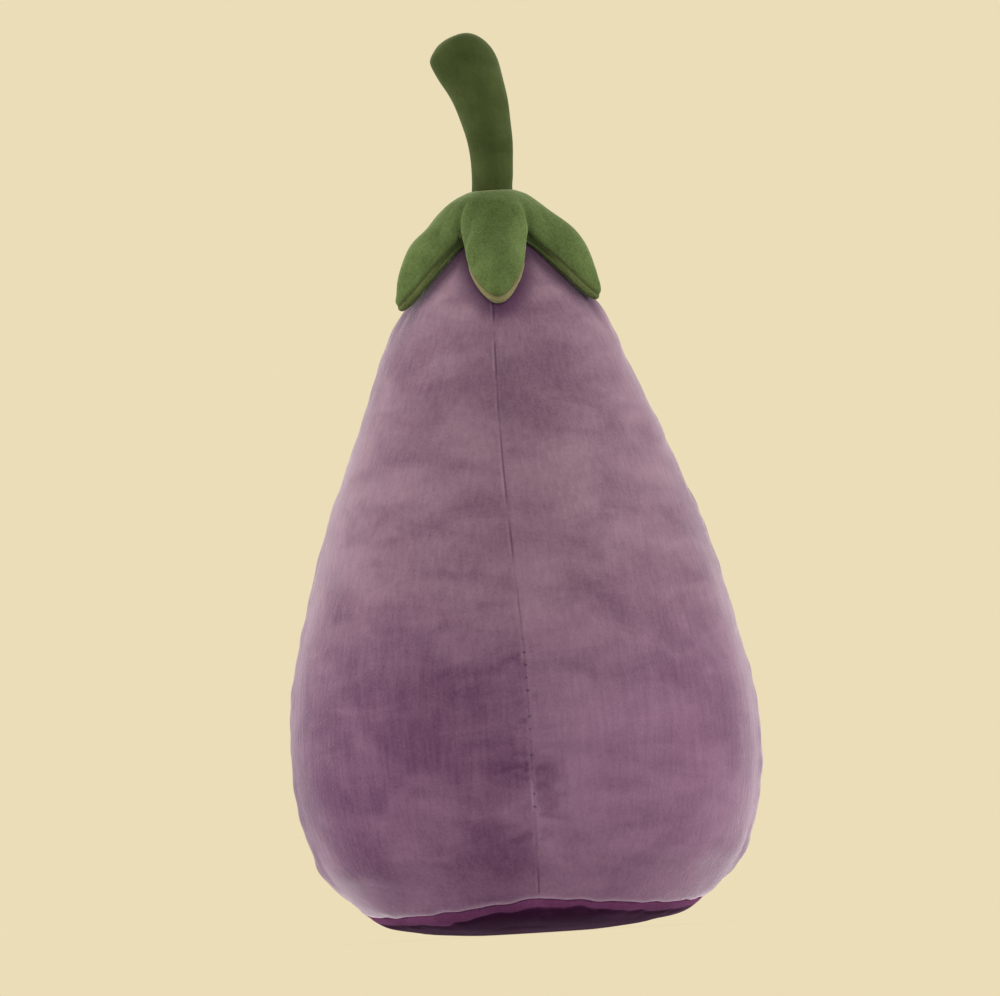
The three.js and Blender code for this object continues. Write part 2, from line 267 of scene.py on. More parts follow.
@dataclass(frozen=True)
class Stuffing:
    """Fibre pushed into a sewn cover: cloth under pressure from inside, held along its seams."""

    pressure: float = 14.0
    frames: int = 14
    stiffness: float = 9.0
    weight: float = 0.03

    def swell(self, piece: bpy.types.Object, held: np.ndarray, room: np.ndarray) -> None:
        """Simulates the cover and keeps each point's move within its room.

        Args:
            piece: The closed cover, a little slack.
            held: How firmly each vertex is held, from 0 to 1.
            room: How far each vertex may move, in metres.
        """
        rest = read_places(piece.data)
        group = piece.vertex_groups.new(name="held")
        for index, weight in enumerate(held):
            if weight > 0:
                group.add([index], float(weight), "REPLACE")
        cloth = piece.modifiers.new("stuffing", "CLOTH")
        settings = cloth.settings
        settings.quality = 5
        settings.mass = self.weight
        settings.tension_stiffness = self.stiffness
        settings.compression_stiffness = self.stiffness
        settings.shear_stiffness = self.stiffness / 2
        settings.bending_stiffness = 0.6
        settings.use_pressure = True
        settings.uniform_pressure_force = self.pressure
        settings.vertex_group_mass = group.name
        settings.effector_weights.gravity = 0
        cloth.collision_settings.use_collision = False
        cloth.point_cache.frame_start = 1
        cloth.point_cache.frame_end = self.frames
        scene = bpy.context.scene
        for frame_number in range(1, self.frames + 1):
            scene.frame_set(frame_number)
        swollen = read_places(piece.evaluated_get(bpy.context.evaluated_depsgraph_get()).data)
        piece.modifiers.remove(cloth)
        piece.vertex_groups.remove(group)
        scene.frame_set(1)
        move = swollen - rest
        far = np.linalg.norm(move, axis=1)
        kept = room * np.tanh(far / np.maximum(room, 1e-9))
        write_places(piece.data, rest + move * (kept / np.maximum(far, 1e-9))[:, None])
        amounts = (far.max() / MM, kept.max() / MM)
        log.info("%s swelled by up to %.1f mm, kept to %.1f mm", piece.name, *amounts)


# ---- Shader trees -----------------------------------------------------------------------------
class Value:
    """One output of a node, on which arithmetic adds Math nodes."""

    def __init__(self, graph: "Graph", socket: bpy.types.NodeSocket) -> None:
        """Keeps the socket and the graph that it is in."""
        self.graph = graph
        self.socket = socket

    def _maths(self, operation: str, first: Any, second: Any) -> "Value":
        """A Math node on two values or numbers."""
        return self.graph.node("ShaderNodeMath", {"operation": operation}, {0: first, 1: second})

    def __add__(self, other: Any) -> "Value":
        """The sum."""
        return self._maths("ADD", self, other)

    def __sub__(self, other: Any) -> "Value":
        """The difference."""
        return self._maths("SUBTRACT", self, other)

    def __rsub__(self, other: Any) -> "Value":
        """The difference, the other way round."""
        return self._maths("SUBTRACT", other, self)

    def __mul__(self, other: Any) -> "Value":
        """The product."""
        return self._maths("MULTIPLY", self, other)

    __radd__ = __add__
    __rmul__ = __mul__


class Graph:
    """A node tree that is filled from Python."""

    def __init__(self, tree: bpy.types.NodeTree) -> None:
        """Empties the tree.

        Args:
            tree: The tree to fill.
        """
        self.tree = tree
        tree.nodes.clear()

    @staticmethod
    def _socket(sockets: Any, key: Union[int, str]) -> bpy.types.NodeSocket:
        """The socket with this number, identifier or name."""
        if isinstance(key, int):
            return sockets[key]
        return next((s for s in sockets if s.identifier == key), None) or sockets[key]

    def node(
        self,
        kind: str,
        settings: Optional[dict[str, Any]] = None,
        inputs: Optional[dict[Union[int, str], Any]] = None,
        output: Union[int, str] = 0,
    ) -> Value:
        """Adds one node.

        Args:
            kind: The node's type.
            settings: Its properties, which are set first. "stops" are a ramp's positions and colours.
            inputs: The values or links of its sockets.
            output: Which output is wanted.

        Returns:
            The chosen output, or the node's first input where it has no output.
        """
        made = self.tree.nodes.new(kind)
        for name, setting in (settings or {}).items():
            if name == "stops":
                ramp = made.color_ramp.elements
                while len(ramp) < len(setting):
                    ramp.new(1.0)
                for stop, (position, colour) in zip(ramp, setting):
                    stop.position = position
                    stop.color = (*colour, 1.0)
            else:
                setattr(made, name, setting)
        for key, given in (inputs or {}).items():
            socket = self._socket(made.inputs, key)
            if isinstance(given, Value):
                self.tree.links.new(given.socket, socket)
            elif socket.type == "RGBA" and len(given) == 3:
                socket.default_value = (*given, 1.0)
            else:
                socket.default_value = given
        side = made.outputs if len(made.outputs) else made.inputs
        return Value(self, self._socket(side, output))

    def mix(self, share: Any, first: Any, second: Any, blend: str = "MIX") -> Value:
        """A blend of two colours.

        Args:
            share: How much of the second colour shows.
            first: The first colour.
            second: The second colour.
            blend: The way they are blended.

        Returns:
            The mixed colour.
        """
        settings = {"data_type": "RGBA", "blend_type": blend, "clamp_factor": True}
        inputs = {"Factor_Float": share, "A_Color": first, "B_Color": second}
        return self.node("ShaderNodeMix", settings, inputs, "Result_Color")

    def ramp(self, value: Any, low: float, high: float, start: float = 0.0, end: float = 1.0) -> Value:
        """A smooth rise of a value's range.

        Args:
            value: The value to read.
            low: Where the rise starts.
            high: Where it ends.
            start: The result at low.
            end: The result at high.

        Returns:
            The result.
        """
        inputs = {"Value": value, "From Min": low, "From Max": high, "To Min": start, "To Max": end}
        return self.node("ShaderNodeMapRange", {"interpolation_type": "SMOOTHSTEP"}, inputs)

    def coordinates(self) -> Value:
        """The place on the object, in metres."""
        return self.node("ShaderNodeTexCoord", output="Object")

    def stretched(self, place: Value, scale: Colour) -> Value:
        """The place with each axis scaled."""
        return self.node("ShaderNodeVectorMath", {"operation": "MULTIPLY"}, {0: place, 1: scale})

    def noise(self, place: Value, scale: float, detail: float = 2.0, twist: float = 0.0) -> Value:
        """Cloudy noise around 0.5.

        Args:
            place: Where to read it.
            scale: How many clouds there are in a unit of the place.
            detail: How many finer layers are on it.
            twist: How much the clouds are drawn out of shape.

        Returns:
            The noise.
        """
        inputs = {"Vector": place, "Scale": scale, "Detail": detail, "Roughness": 0.55, "Distortion": twist}
        return self.node("ShaderNodeTexNoise", {}, inputs)

    def attribute(self, name: str) -> Value:
        """The number that is stored on the mesh under a name."""
        return self.node("ShaderNodeAttribute", {"attribute_name": name}, output="Fac")


def srgb(red: int, green: int, blue: int) -> Colour:
    """A colour as light, from its usual 0 to 255 numbers."""
    shares = (red / 255, green / 255, blue / 255)
    return tuple(c / 12.92 if c <= 0.04045 else ((c + 0.055) / 1.055) ** 2.4 for c in shares)


# How many marks the pile has in a metre along each axis: brushed dabs, strokes and single fibres.
DABS = (24.0, 24.0, 62.0)
STROKES = (420.0, 420.0, 46.0)
FIBRES = (2400.0, 2400.0, 700.0)


@dataclass(frozen=True)
class PlushFinish:
    """A short brushed pile, darker where it is laid one way and lighter where it is laid the other, with
    painted shade and painted highlights from attributes.
    """

    name: str
    painted_shade_colour: Colour
    laid: Colour
    raised: Colour
    low_tint_and_shade: Colour
    sheen_tint: Colour
    sheen: float
    low_height: float
    high_height: float
    highlight_tint: Colour
    contact_shadow_tint: Colour = srgb(58, 26, 58)
    patch: float = 0.075
    contrast: float = 1.0
    grain_share: float = 0.5
    grain: float = 0.0011
    pile: float = 0.0007

    def material(self) -> bpy.types.Material:
        """Builds the finish.

        Returns:
            The material.
        """
        made = bpy.data.materials.new(self.name)
        made.use_nodes = True
        graph = Graph(made.node_tree)
        place = graph.coordinates()
        patches = graph.noise(place, 1 / self.patch, 3.0, 0.8)
        dabs = graph.noise(graph.stretched(place, DABS), 1.0, 4.0, 0.6)
        strokes = graph.noise(graph.stretched(place, STROKES), 1.0, 2.0)
        grain = graph.noise(place, 1 / self.grain, 2.0)
        fibres = graph.noise(graph.stretched(place, FIBRES), 1.0, 1.0)
        spread = 0.2 / self.contrast
        lay = graph.ramp(patches * 0.62 + dabs * 0.38, 0.5 - spread, 0.5 + spread)
        laid = graph.attribute("laid")
        # The laid attribute darkens the pile by its lay per gore, and also carries painted shade in the
        # body's dents and under the base's crease and a painted highlight on the base's band.
        soft = lay * 0.56 + strokes * 0.44 + (grain - 0.5) * self.grain_share - laid * 0.5 + 0.06
        colour = graph.mix(soft, self.laid, self.raised)
        height = graph.node("ShaderNodeSeparateXYZ", {}, {0: place}, "Z")
        # Darker and more violet towards the bottom: partly the fabric's tone, partly painted shade.
        low = graph.ramp(height, self.high_height, self.low_height)
        colour = graph.mix(low, colour, self.low_tint_and_shade, "MULTIPLY")
        # Painted shade: the groove attribute darkens seams, creases, tucks and undersides towards this
        # colour.
        groove = graph.attribute("groove")
        shade = graph.ramp(groove, 0.15, 1.0)
        colour = graph.mix(shade * 0.6, colour, self.painted_shade_colour)
        # Painted shadow on the body where the calyx lies on it.
        colour = graph.mix(graph.attribute("pressed") * 0.72, colour, self.contact_shadow_tint)
        # Painted highlight: the edge attribute lightens the hem, seam edges, lips and the crown's rim
        # towards the highlight tint.
        painted_highlight = graph.attribute("edge") * (grain * 0.5 + 0.5)
        colour = graph.mix(painted_highlight * 0.7, colour, self.highlight_tint)
        rough = graph.ramp(lay, 0.0, 1.0, 1.0, 0.86)
        relief = grain * 0.55 + fibres * 0.3 + strokes * 0.35
        inputs = {"Strength": 0.55, "Distance": self.pile, "Height": relief}
        bump = graph.node("ShaderNodeBump", {}, inputs)
        surface = {
            "Base Color": colour,
            "Roughness": rough,
            "Normal": bump,
            "Specular IOR Level": 0.04,
            "Sheen Weight": self.sheen,
            "Sheen Roughness": 0.3,
            "Sheen Tint": self.sheen_tint,
        }
        shader = graph.node("ShaderNodeBsdfPrincipled", {}, surface)
        graph.node("ShaderNodeOutputMaterial", {}, {"Surface": shader})
        return made


@dataclass(frozen=True)
class ThreadFinish:
    """Waxed sewing thread with its twist."""

    name: str
    dark: Colour
    light: Colour
    twist: float = 0.0006

    def material(self) -> bpy.types.Material:
        """Builds the finish.

        Returns:
            The material.
        """
        made = bpy.data.materials.new(self.name)
        made.use_nodes = True
        graph = Graph(made.node_tree)
        place = graph.coordinates()
        settings = {"wave_type": "BANDS", "bands_direction": "DIAGONAL"}
        inputs = {"Vector": place, "Scale": 1 / self.twist, "Distortion": 0.4}
        strands = graph.node("ShaderNodeTexWave", settings, inputs, "Fac")
        fuzz = graph.noise(place, 1800.0, 2.0)
        colour = graph.mix(strands * 0.6 + fuzz * 0.4, self.dark, self.light)
        bump = graph.node("ShaderNodeBump", {}, {"Strength": 0.6, "Distance": 0.0002, "Height": strands})
        surface = {
            "Base Color": colour,
            "Roughness": graph.ramp(fuzz, 0.2, 0.8, 0.55, 0.75),
            "Normal": bump,
            "Sheen Weight": 0.2,
        }
        shader = graph.node("ShaderNodeBsdfPrincipled", {}, surface)
        graph.node("ShaderNodeOutputMaterial", {}, {"Surface": shader})
        return made


LILAC = PlushFinish(
    name="lilac_plush",
    painted_shade_colour=srgb(74, 46, 68),
    laid=srgb(90, 62, 81),
    raised=srgb(139, 112, 122),
    low_tint_and_shade=srgb(240, 226, 246),
    sheen_tint=srgb(244, 234, 236),
    highlight_tint=srgb(214, 196, 206),
    sheen=1.0,
    low_height=0.08,
    high_height=0.22,
    patch=0.10,
    contrast=1.4,
)
PLUM = PlushFinish(
    name="plum_plush",
    painted_shade_colour=srgb(30, 8, 26),
    laid=srgb(52, 20, 44),
    raised=srgb(106, 58, 92),
    low_tint_and_shade=srgb(225, 215, 225),
    sheen_tint=srgb(190, 140, 176),
    highlight_tint=srgb(120, 80, 108),
    sheen=0.1,
    low_height=0.002,
    high_height=0.012,
    patch=0.05,
)
GREEN = PlushFinish(
    name="green_plush",
    painted_shade_colour=srgb(30, 36, 18),
    laid=srgb(62, 76, 38),
    raised=srgb(92, 108, 62),
    low_tint_and_shade=srgb(235, 235, 225),
    sheen_tint=srgb(200, 212, 160),
    highlight_tint=srgb(150, 126, 98),
    sheen=0.5,
    grain_share=1.5,
    low_height=0.30,
    high_height=0.35,
    patch=0.03,
)
STEM_GREEN = PlushFinish(
    name="stem_plush",
    painted_shade_colour=srgb(26, 32, 14),
    laid=srgb(42, 51, 23),
    raised=srgb(66, 76, 40),
    low_tint_and_shade=srgb(235, 235, 225),
    sheen_tint=srgb(196, 208, 158),
    highlight_tint=srgb(150, 126, 98),
    sheen=0.5,
    low_height=0.36,
    high_height=0.39,
    patch=0.03,
)
THREAD = ThreadFinish(name="sewing_thread", dark=srgb(48, 24, 42), light=srgb(84, 54, 76))


def finish_piece(
    piece: bpy.types.Object,
    material: bpy.types.Material,
    slot: Slot,
    nodes: Sequence[str],
    fill: Optional[float] = None,
) -> bpy.types.Object:
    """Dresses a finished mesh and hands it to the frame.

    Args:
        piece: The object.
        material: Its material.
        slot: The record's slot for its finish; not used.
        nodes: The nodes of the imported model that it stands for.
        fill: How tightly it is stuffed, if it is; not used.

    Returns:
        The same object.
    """
    piece.data.materials.clear()
    piece.data.materials.append(material)
    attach(piece, BODY)
    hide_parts(*nodes)
    log.info("%s: %d faces, for %s", piece.name, len(piece.data.polygons), ", ".join(nodes))
    return piece


# ---- The skin that the body and the base share ------------------------------------------------
@dataclass
class Skin:
    """The sizes of the sewn skin and the surface that they give."""

    radius: float = 118.5 * MM
    foot_radius: float = 24 * MM
    hem_radius: float = 83 * MM
    scallop: float = 4.5 * MM
    hem_tilt: float = 3.4 * MM
    seam_dip: float = 0.8 * MM
    seam_pull: float = 9 * MM
    twist_low: float = 0.0225
    twist_high: float = -0.055
    open_below: float = 300 * MM
    covered_above: float = 345 * MM
    top: float = field(init=False)
    hem_height: float = field(init=False)
    line: Line = field(init=False)

    def __post_init__(self) -> None:
        """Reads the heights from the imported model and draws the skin's outline."""
        self.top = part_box("body_gore_front_left")[1].z
        self.hem_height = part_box("base_panel")[1].z - self.scallop / 2
        # The foot is flat where the cushion stands, and bulges down to it from the hem.
        reach = np.linspace(0, 1, 60)
        spread = self.hem_radius - self.foot_radius
        rise = self.hem_height * (0.62 * reach**1.6 + 0.38 * reach**6)
        foot = np.stack([self.foot_radius + spread * reach, rise], 1)
        flat = np.stack([np.linspace(0, self.foot_radius, 20, endpoint=False), np.zeros(20)], 1)
        # Shares of the full radius and of the height from the hem to the top.
        shape = [
            (0.88, 0.058),
            (0.942, 0.106),
            (0.988, 0.174),
            (1, 0.24),
            (0.984, 0.315),
            (0.928, 0.408),
            (0.812, 0.546),
            (0.655, 0.684),
            (0.485, 0.824),
            (0.432, 0.862),
            (0.366, 0.893),
            (0.298, 0.921),
            (0.234, 0.945),
            (0.168, 0.967),
            (0.094, 0.987),
            (0, 1),
        ]
        rise = self.top - self.hem_height
        above = [(r * self.radius, self.hem_height + h * rise) for r, h in shape]
        body = spline([tuple(foot[-1]), *above])[1:]
        self.line = Line(np.vstack([flat, foot, body]))

    def twist(self, height: Number) -> Number:
        """How far the seams have turned about the axis at a height, in radians."""
        return self.twist_low + (self.twist_high - self.twist_low) * smoothstep(height, 0.11, 0.30)

    def uncovered(self, height: Number) -> Number:
        """1 where the skin shows, and 0 under the calyx."""
        return smoothstep(height, self.covered_above, self.open_below)

    def off_seam(self, azimuth: Number) -> Number:
        """The angle from the nearest seam, below 0 on its one side and above 0 on the other."""
        return (np.asarray(azimuth) + PITCH / 2) % PITCH - PITCH / 2

    def hem_at(self, azimuth: Number) -> Number:
        """The height of the scalloped hem, which sits a little higher in front than behind.

        Args:
            azimuth: The angle about the axis, with the seams' twist taken off.

        Returns:
            The height in metres.
        """
        turn = np.asarray(azimuth)
        scallop = self.scallop * (0.5 - np.abs(np.sin(SEAMS / 2 * turn)))
        wave = 0.3 * MM * (np.sin(23 * turn + 1) + 0.8 * np.sin(37 * turn))
        return self.hem_height + scallop + wave - self.hem_tilt * np.sin(turn)

    def hem_way(self, azimuth: Number) -> Number:
        """The way along the outline to the hem, at these angles."""
        outside = self.line.points[:, 1] > 0
        return np.interp(self.hem_at(azimuth), self.line.points[outside, 1], self.line.way[outside])

    def place(self, way: Number, azimuth: Number, depth: Number = 0.0) -> np.ndarray:
        """Points on the skin, pulled in along the seams.

        Args:
            way: The way along the outline from the middle of the foot.
            azimuth: The angle about the axis, before the twist.
            depth: How far in from the skin's outside.

        Returns:
            The points.
        """
        flat = self.line.at(way)
        along = self.line.along(way)
        radius = flat[..., 0] - along[..., 1] * depth
        height = flat[..., 1] + along[..., 0] * depth
        off = self.off_seam(azimuth) * flat[..., 0]
        rising = smoothstep(height, self.hem_height / 2, 2 * self.hem_height)
        fading = smoothstep(radius, self.seam_pull, 4 * self.seam_pull)
        pull = self.seam_dip * rising * fading * smoothstep(height, 0.335, 0.30)
        radius = np.maximum(radius - pull * bell(off, self.seam_pull), 0)
        turned = azimuth + self.twist(height)
        return np.stack([radius * np.cos(turned), radius * np.sin(turned), height], -1)

    def columns(self, per_half: int, even: float = 0.12) -> np.ndarray:
        """Angles around the skin, crowded towards the seams.

        Args:
            per_half: How many there are between a seam and the middle of a gore.
            even: How much of the spacing stays even.

        Returns:
            The angles, from 0 to a full turn.
        """
        share = np.arange(per_half + 1) / per_half
        half = (even * share + (1 - even) * share**1.8) * PITCH / 2
        gore = np.concatenate([half, PITCH - half[-2:0:-1]])
        return np.concatenate([gore + k * PITCH for k in range(SEAMS)])

    def around(self, places: np.ndarray) -> tuple[np.ndarray, np.ndarray, np.ndarray]:
        """Where points lie on the skin.

        Args:
            places: The points, one row each.

        Returns:
            The angle with the twist taken off, the distance from the nearest seam, and the radius.
        """
        radius = np.hypot(places[:, 0], places[:, 1])
        azimuth = np.arctan2(places[:, 1], places[:, 0]) - self.twist(places[:, 2])
        return azimuth, self.off_seam(azimuth) * radius, radius


@dataclass(frozen=True)
class Pucker:
    """A short dent that runs away from a seam."""

    height: float
    side: float
    start: float
    reach: float
    width: float
    depth: float
    slope: float

    def at(self, height: np.ndarray, off: np.ndarray) -> np.ndarray:
        """How deep the dent is.

        Args:
            height: The heights of the points.
            off: Their signed distances from the seam.

        Returns:
            The depths, 0 or more.
        """
        away = off * self.side
        level = self.height + self.slope * away
        near = smoothstep(away, self.start - 0.4 * self.width, self.start + 1.2 * self.width)
        far = 1 - smoothstep(away, self.start + 0.35 * self.reach, self.start + self.reach)
        widening = self.width * (1 + 0.5 * np.clip(away / self.reach, 0, 1))
        return self.depth * near * far * np.exp(-(((height - level) / widening) ** 2))


@dataclass
class Body:
    """The lilac part: four gores round a filling, closed by hand low down in the front seam."""

    skin: Skin
    per_half: int = 22
    rows: int = 118
    slack: float = 2.2 * MM
    room: float = 5.5 * MM
    groove: float = 0.55 * MM
    groove_width: float = 0.62 * MM
    closing: tuple[float, float] = (62 * MM, 146 * MM)
    brushed: tuple[float, ...] = (0.1, 0.2, 0.3, -0.04)
    shadow_from: float = 270 * MM
    shadow_reach: float = 13 * MM
    fill: float = 0.85

    def _rings(self) -> np.ndarray:
        """The rings of the slack cover, from the middle of its underside over the hem to the top."""
        skin = self.skin
        columns = skin.columns(self.per_half)
        hem = skin.hem_way(columns)
        share = np.linspace(0, 1, self.rows + 1)[:-1]
        # Rows lie closer together low down, where the hem and the hand-closed seam are.
        share = 0.72 * share + 0.28 * share**2.2
        tops = []
        for part in share:
            way = hem + 1.5 * MM + (skin.line.length - 1.5 * MM - hem) * part
            shown = skin.uncovered(skin.line.at(way)[:, 1])
            near_hem = smoothstep(way - hem, 4 * MM, 24 * MM)
            off = np.abs(skin.off_seam(columns)) * skin.line.at(way)[:, 0]
            slack = self.slack * shown * near_hem * smoothstep(off, 2 * MM, 16 * MM)
            tops.append(skin.place(way, columns, slack))
        # The hem is rolled under: each step is a way along the outline and a depth under it.
        roll = [(0.5 * MM, 0.15 * MM), (0.05 * MM, 0.7 * MM), (0.1 * MM, 1.5 * MM), (1.0 * MM, 2.8 * MM)]
        unders = [skin.place(hem + along, columns, depth) for along, depth in roll]
        inner = unders[-1]
        floor = skin.hem_height + 8 * MM
        inside = []
        for part in (0.85, 0.65, 0.4, 0.18):
            ring = inner.copy()
            ring[:, :2] *= part
            ring[:, 2] = floor + (ring[:, 2] - floor) * part
            inside.append(ring)
        return np.array([*inside[::-1], *unders[::-1], *tops])

    def _puckers(self) -> list[Pucker]:
        """The gathers that the closing stitches draw into the cloth, and the looser folds below them."""
        draw = np.random.default_rng(41)
        made = []
        for height in np.arange(46 * MM, 158 * MM, 3.9 * MM):
            for side in (-1.0, 1.0):
                made.append(
                    Pucker(
                        height=height + draw.uniform(-1.8, 1.8) * MM,
                        side=side,
                        start=draw.uniform(0.2, 1.2) * MM,
                        reach=draw.uniform(6, 26) * MM,
                        width=draw.uniform(1.1, 2.1) * MM,
                        depth=draw.uniform(0.0, 1.0) ** 1.6 * 1.35 * MM,
                        slope=draw.uniform(-0.3, 0.3),
                    )
                )
        # Each loose fold's height in millimetres, and the side of the seam that it runs to.
        folds = [(66, -1), (84, -1), (97, -1), (118, -1), (133, -1), (52, -1), (92, 1), (112, 1), (42, 1)]
        for height, side in folds:
            made.append(
                Pucker(
                    height=height * MM,
                    side=float(side),
                    start=draw.uniform(2, 8) * MM,
                    reach=draw.uniform(34, 62) * MM,
                    width=draw.uniform(3.0, 5.0) * MM,
                    depth=draw.uniform(0.4, 0.8) * MM,
                    slope=draw.uniform(-0.12, 0.12),
                )
            )
        # The deepest dent is just beside the lower end of the closing.
        for height, reach, depth in ((79, 17, 2.6), (72, 12, 3.4), (65, 15, 2.5)):
            made.append(Pucker(height * MM, 1.0, 0.4 * MM, reach * MM, 3.6 * MM, depth * MM, -0.12))
        return made

    def _detail(self, piece: bpy.types.Object) -> None:
        """Draws the seams in, gathers the closing, leaves the filling slightly lumpy, and paints shade and
        highlights.

        Args:
            piece: The refined cover.
        """
        skin, mesh = self.skin, piece.data
        places = read_places(mesh)
        normals = read_places(mesh, "normal")
        azimuth, off, radius = skin.around(places)
        height = places[:, 2]
        outside = smoothstep(self._above_hem(places, azimuth), 0.2 * MM, 4 * MM)
        fading = smoothstep(radius, 6 * MM, 24 * MM)
        bedded = bell(off, self.groove_width) * outside * fading
        sewn = Unevenness(9, 16 * MM, 0.22 * MM)
        lumps = Unevenness(3, 74 * MM, 0.5 * MM)
        small = Unevenness(5, 31 * MM, 0.12 * MM)
        uncovered = skin.uncovered(height) * outside
        move = uncovered * (lumps.at(places) + small.at(places) + bell(off, 9 * MM) * sewn.at(places))
        low, high = self.closing
        closed = smoothstep(height, low - 14 * MM, low + 4 * MM) * smoothstep(height, high + 30 * MM, high)
        shown = (1 - 0.75 * closed) * smoothstep(Unevenness(17, 30 * MM, 1.0).at(places), -1.6, 0.4)
        move -= bedded * self.groove * (0.35 + 0.65 * shown)
        front = np.abs((azimuth - FRONT + math.pi) % (2 * math.pi) - math.pi) < PITCH / 2
        dents = np.zeros(len(places))
        for pucker in self._puckers():
            depth = pucker.at(height[front], off[front])
            dents[front] = np.maximum(dents[front], depth) + 0.25 * np.minimum(dents[front], depth)
        move -= dents * outside
        write_places(mesh, places + normals * move[:, None])
        # Painted shade in the seams' grooves, weaker towards the sides.
        aside = 1 - 0.6 * smoothstep(np.abs(places[:, 0]), 0.4 * radius, 0.9 * radius)
        tight = bell(off, 0.8 * self.groove_width) * outside * fading * (0.25 + 0.75 * shown) * aside
        write_values(mesh, "groove", np.clip(tight, 0, 1))
        # Painted highlights: a pale line along the hem and a light edge beside the front seam, on the front
        # gore only.
        hem = bell(self._above_hem(places, azimuth) - 0.6 * MM, 0.9 * MM)
        beside = bell(off + 1.2 * MM, 0.5 * MM) * outside * fading * shown
        # Beside the deepest dent a painted highlight marks a pale lip where the cloth folds over.
        lip = bell(off + 0.9 * MM, 0.6 * MM)
        lip *= smoothstep(height, 58 * MM, 64 * MM) * smoothstep(height, 78 * MM, 72 * MM)
        write_values(mesh, "edge", np.clip(0.35 * hem + 0.12 * beside * front + 0.22 * lip * front, 0, 1))
        quarter = np.floor(azimuth / PITCH).astype(int) % SEAMS
        brushed = np.array(self.brushed)[quarter] * smoothstep(height, 0.27, 0.14)
        # Painted shade in the front dents, added to the pile's lay per gore.
        pressed = smoothstep(dents, 0.12 * MM, 1.5 * MM) * front
        write_values(mesh, "laid", brushed + 0.6 * pressed)

    def _above_hem(self, places: np.ndarray, azimuth: np.ndarray) -> np.ndarray:
        """How high points lie above the scalloped hem."""
        return places[:, 2] - self.skin.hem_at(azimuth)

    def build(self, material: bpy.types.Material) -> bpy.types.Object:
        """Makes the stuffed body.

        Args:
            material: The lilac pile.

        Returns:
            The body.
        """
        skin = self.skin
        rings = self._rings()
        piece = closed_loft("body_plush", rings, (0, 0, skin.hem_height + 8 * MM), (0, 0, skin.top))
        places = read_places(piece.data)
        azimuth, off, radius = skin.around(places)
        low = smoothstep(self._above_hem(places, azimuth), 7 * MM, 1.5 * MM)
        held = np.maximum.reduce([bell(off, 1.2 * MM), low, smoothstep(places[:, 2], 0.335, 0.35)])
        held = np.where(held > 0.4, 1.0, 0.0)
        room = self.room * (1 - smoothstep(places[:, 2], 0.285, 0.325) * 0.9)
        Stuffing().swell(piece, held, room)
        refine(piece)
        self._detail(piece)
        gores = [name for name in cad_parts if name.startswith("body_gore")]
        return finish_piece(piece, material, Slot.LILAC, [*sorted(gores), "body_filling"], self.fill)

    def paint_calyx_shadow(self, piece: bpy.types.Object, over: bpy.types.Object) -> None:
        """Paints shadow on the body round the pad that lies on it, as a darkening of its colour.

        Args:
            piece: The finished body.
            over: The calyx.
        """
        pad = read_places(over.data)
        tree = KDTree(len(pad))
        for index, place in enumerate(pad):
            tree.insert(place, index)
        tree.balance()
        places = read_places(piece.data)
        values = np.zeros(len(places))
        for index in np.flatnonzero(places[:, 2] > self.shadow_from):
            values[index] = smoothstep(tree.find(places[index])[2], self.shadow_reach, 1.5 * MM)
        write_values(piece.data, "pressed", values)

    def seam_path(self, piece: bpy.types.Object) -> list[tuple[float, float, float]]:
        """The bottom of the front seam's groove along the closing.

        Args:
            piece: The finished body.

        Returns:
            Points from the lower end to the upper end.
        """
        places = read_places(piece.data)
        azimuth, off, _ = self.skin.around(places)
        low, high = self.closing
        front = np.abs(azimuth - FRONT) < PITCH / 4
        near = (np.abs(off) < 0.2 * MM) & front & (places[:, 2] > low) & (places[:, 2] < high)
        found = places[near]
        return [tuple(point) for point in found[np.argsort(found[:, 2])]]


